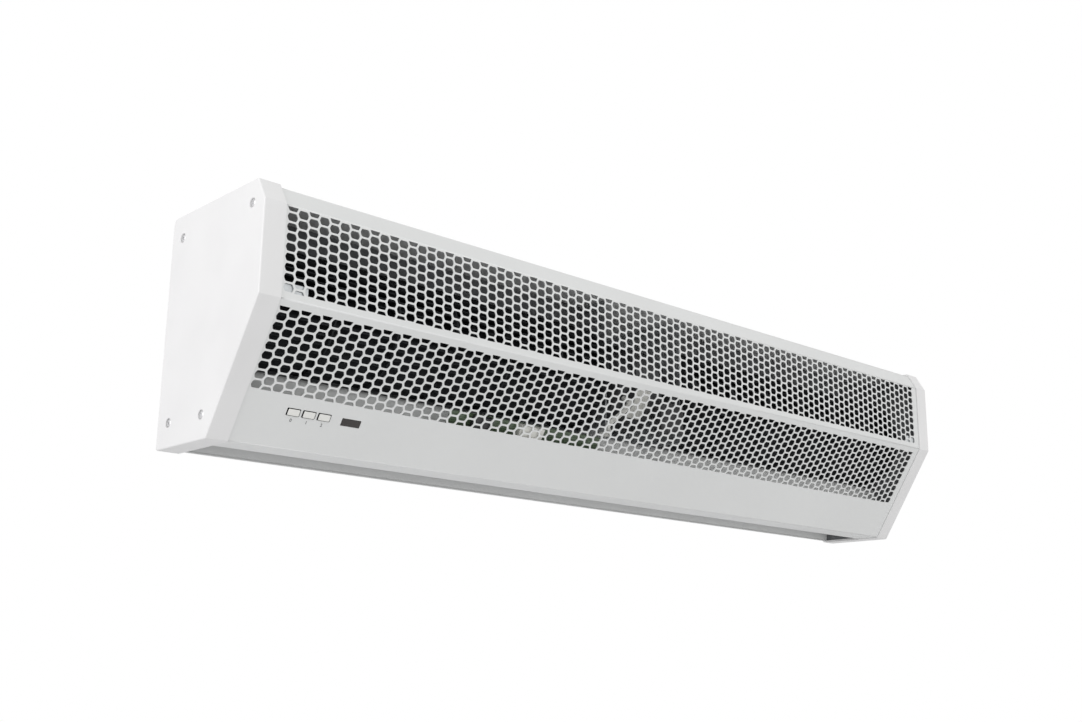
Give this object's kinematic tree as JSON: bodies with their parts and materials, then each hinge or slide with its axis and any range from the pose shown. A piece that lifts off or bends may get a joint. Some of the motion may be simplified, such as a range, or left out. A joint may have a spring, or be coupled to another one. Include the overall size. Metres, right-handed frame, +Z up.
{
  "type": "air curtain",
  "caption": "Wall-hung cross-flow air curtain: folded perforated front panel, white end caps, push buttons and receiver window, and a long air outlet in the underside.",
  "frame": {"origin": "centre of the wall plate's back face, which lies on the wall", "axes": "+X along the unit, away from the end with the push buttons; +Y into the wall; +Z up"},
  "size_m": [0.9, 0.14, 0.19],
  "materials": {
    "panel_paint": "satin powder coat, light grey",
    "inner_paint": "satin powder coat, dark grey",
    "motor_paint": "satin, near black",
    "cap_white": "satin, light grey",
    "zinc_sheet": "zinc plated",
    "bright_steel": "bright",
    "black_rubber": "matte",
    "wheel_plastic": "moulded, dark",
    "key_plastic": "satin, off white",
    "dark_plastic": "moulded, dark",
    "window_plastic": "gloss, dark smoke",
    "pale_plastic": "moulded, pale",
    "board_laminate": "solder mask, dull green",
    "lead_sleeve": "soft sleeve, pale"
  },
  "bodies": {
    "housing": {"wall_plate": "zinc_sheet", "rear_casing": "panel_paint", "outlet_wall": "panel_paint", "tongue_channel": "panel_paint", "front_panel": "panel_paint", "motor_body": "motor_paint", "scroll_left": "inner_paint", "side_plate_left": "inner_paint", "end_cap_left": "cap_white", "motor_bulkhead_left": "zinc_sheet", "motor_ring_left": "black_rubber", "bearing_left": "bright_steel", "bearing_cushion_left": "black_rubber", "bearing_retainer_left": "zinc_sheet", "panel_stay_left": "zinc_sheet", "cap_screw_left_1": "bright_steel", "cap_screw_left_2": "bright_steel", "cap_screw_left_3": "bright_steel", "cap_screw_left_4": "bright_steel", "scroll_right": "inner_paint", "side_plate_right": "inner_paint", "end_cap_right": "cap_white", "motor_bulkhead_right": "zinc_sheet", "motor_ring_right": "black_rubber", "bearing_right": "bright_steel", "bearing_cushion_right": "black_rubber", "bearing_retainer_right": "zinc_sheet", "panel_stay_right": "zinc_sheet", "cap_screw_right_1": "bright_steel", "cap_screw_right_2": "bright_steel", "cap_screw_right_3": "bright_steel", "cap_screw_right_4": "bright_steel", "panel_screw_1": "bright_steel", "panel_screw_2": "bright_steel", "panel_screw_3": "bright_steel", "cable_grommet": "black_rubber", "switch_frame": "dark_plastic", "receiver_window": "window_plastic", "receiver": "dark_plastic", "board_carrier": "pale_plastic", "control_board": "board_laminate", "board_relay": "dark_plastic", "board_transformer": "pale_plastic", "run_capacitor": "dark_plastic", "capacitor_bracket": "inner_paint", "terminal_block": "pale_plastic", "motor_lead": "lead_sleeve"},
    "rotor": {"motor_shaft": "bright_steel", "wheel_left": "wheel_plastic", "wheel_right": "wheel_plastic", "wheel_pin_left": "bright_steel", "wheel_pin_right": "bright_steel", "hub_screw_left": "bright_steel", "hub_screw_right": "bright_steel"},
    "key_off": {"button_off": "key_plastic"},
    "key_low": {"button_low": "key_plastic"},
    "key_high": {"button_high": "key_plastic"}
  },
  "joints": [
    {"name": "rotor_spin", "type": "hinge", "parent": "housing", "child": "rotor", "pos_m": [0, -0.066, 0.017], "axis": [1, 0, 0], "continuous": true},
    {"name": "off_press", "type": "slide", "parent": "housing", "child": "key_off", "axis": [0, 0.8427, 0.5384], "range_m": [0, 0.0025], "stiffness_N_per_m": 400},
    {"name": "low_press", "type": "slide", "parent": "housing", "child": "key_low", "axis": [0, 0.8427, 0.5384], "range_m": [0, 0.0025], "stiffness_N_per_m": 400},
    {"name": "high_press", "type": "slide", "parent": "housing", "child": "key_high", "axis": [0, 0.8427, 0.5384], "range_m": [0, 0.0025], "stiffness_N_per_m": 400}
  ]
}
